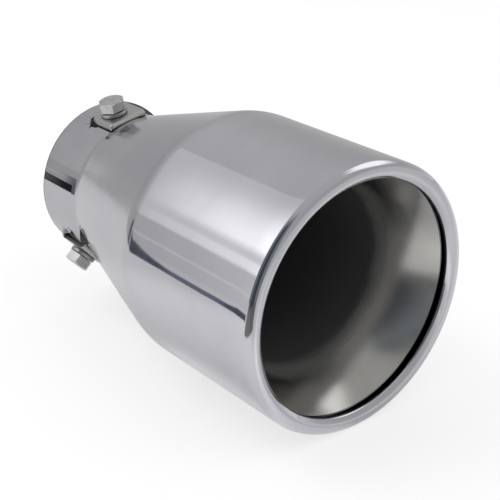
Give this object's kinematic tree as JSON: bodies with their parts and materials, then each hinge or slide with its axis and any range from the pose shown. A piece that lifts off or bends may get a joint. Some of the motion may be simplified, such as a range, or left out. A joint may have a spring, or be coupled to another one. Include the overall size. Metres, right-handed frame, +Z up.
{
  "type": "exhaust tip",
  "caption": "Double-wall round exhaust tip: slotted clamp-on inlet sleeve with bolted lugs, cone to a wider body, rolled lip and flared inner liner.",
  "frame": {"origin": "centre of the inlet sleeve's rim, on the tip's axis", "axes": "+X along the tip's axis, from the inlet to the outlet; +Z up, with the first lug a little off the top towards -Y"},
  "size_m": [0.162, 0.1016, 0.1016],
  "materials": {
    "shell": "polished",
    "liner": "dull",
    "bolt": "zinc plated",
    "washer": "zinc plated"
  },
  "bodies": {
    "root": {"shell": "shell", "liner": "liner", "bolt_top": "bolt", "bolt_low": "bolt", "bolt_back": "bolt", "washer_top": "washer", "washer_low": "washer", "washer_back": "washer"}
  },
  "joints": []
}
